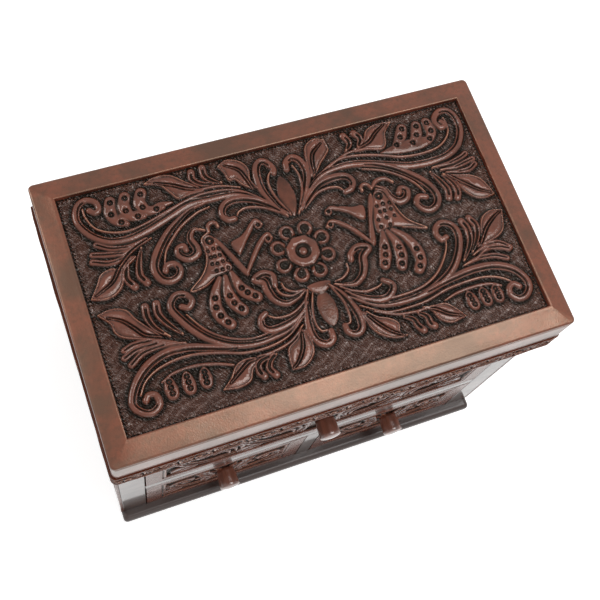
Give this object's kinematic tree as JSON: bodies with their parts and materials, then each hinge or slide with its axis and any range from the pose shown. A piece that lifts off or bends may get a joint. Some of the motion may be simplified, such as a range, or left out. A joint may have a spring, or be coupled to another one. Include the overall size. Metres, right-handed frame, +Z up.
{
  "type": "jewelry box",
  "caption": "Leather-covered wooden jewelry box with a hinged mirrored lid, a lined compartment under it and knobbed drawers below, tooled with scrolling leaves.",
  "frame": {"origin": "bottom centre of the bounding box, with the box closed and standing on its base", "axes": "+Z up, -Y towards the drawer fronts and knobs, +X to the right seen from the front"},
  "size_m": [0.2412, 0.1572, 0.1885],
  "materials": {
    "smooth_leather": "smooth, dyed and lacquered",
    "tooled_leather": "tooled in relief, antiqued and lacquered",
    "base_wood": "dark stained and lacquered",
    "inner_wood": "plain sanded",
    "knob_wood": "turned, stained and lacquered",
    "lining_cloth": "short pile",
    "mirror_glass": "silvered",
    "hinge_brass": "aged"
  },
  "bodies": {
    "case": {"base_board": "base_wood", "base_felt": "lining_cloth", "left_side_board": "inner_wood", "right_side_board": "inner_wood", "back_panel": "inner_wood", "left_stile": "smooth_leather", "right_stile": "smooth_leather", "compartment_front": "smooth_leather", "compartment_floor": "inner_wood", "mid_rail": "smooth_leather", "shelf": "inner_wood", "divider": "inner_wood", "drawer_guides": "inner_wood", "front_rim": "tooled_leather", "left_rim": "tooled_leather", "right_rim": "tooled_leather", "back_rim": "tooled_leather", "left_leather": "tooled_leather", "right_leather": "tooled_leather", "back_leather": "tooled_leather", "compartment_floor_lining": "lining_cloth", "compartment_wall_lining": "lining_cloth", "hinge_case_leaves": "hinge_brass", "hinge_pins": "hinge_brass", "hinge_case_screws": "hinge_brass"},
    "lid": {"lid_front_rail": "smooth_leather", "lid_right_rail": "smooth_leather", "lid_back_rail": "smooth_leather", "lid_left_rail": "smooth_leather", "lid_board": "inner_wood", "lid_tooled_panel": "tooled_leather", "lid_mirror": "mirror_glass", "lid_mirror_surround": "lining_cloth", "hinge_lid_leaves": "hinge_brass", "hinge_lid_screws": "hinge_brass"},
    "upper_drawer": {"upper_drawer_facing": "tooled_leather", "upper_drawer_front": "inner_wood", "upper_drawer_left_side": "inner_wood", "upper_drawer_right_side": "inner_wood", "upper_drawer_back": "inner_wood", "upper_drawer_bottom": "inner_wood", "upper_drawer_lining": "lining_cloth", "upper_drawer_knob": "knob_wood"},
    "lower_left_drawer": {"lower_left_drawer_facing": "tooled_leather", "lower_left_drawer_front": "inner_wood", "lower_left_drawer_left_side": "inner_wood", "lower_left_drawer_right_side": "inner_wood", "lower_left_drawer_back": "inner_wood", "lower_left_drawer_bottom": "inner_wood", "lower_left_drawer_lining": "lining_cloth", "lower_left_drawer_knob": "knob_wood"},
    "lower_right_drawer": {"lower_right_drawer_facing": "tooled_leather", "lower_right_drawer_front": "inner_wood", "lower_right_drawer_left_side": "inner_wood", "lower_right_drawer_right_side": "inner_wood", "lower_right_drawer_back": "inner_wood", "lower_right_drawer_bottom": "inner_wood", "lower_right_drawer_lining": "lining_cloth", "lower_right_drawer_knob": "knob_wood"}
  },
  "joints": [
    {"name": "lid_hinge", "type": "hinge", "parent": "case", "child": "lid", "pos_m": [0, 0.07429, 0.16345], "axis": [-1, 0, 0], "range_deg": [0, 100]},
    {"name": "upper_drawer_slide", "type": "slide", "parent": "case", "child": "upper_drawer", "axis": [0, -1, 0], "range_m": [0, 0.095]},
    {"name": "lower_left_drawer_slide", "type": "slide", "parent": "case", "child": "lower_left_drawer", "axis": [0, -1, 0], "range_m": [0, 0.095]},
    {"name": "lower_right_drawer_slide", "type": "slide", "parent": "case", "child": "lower_right_drawer", "axis": [0, -1, 0], "range_m": [0, 0.095]}
  ]
}
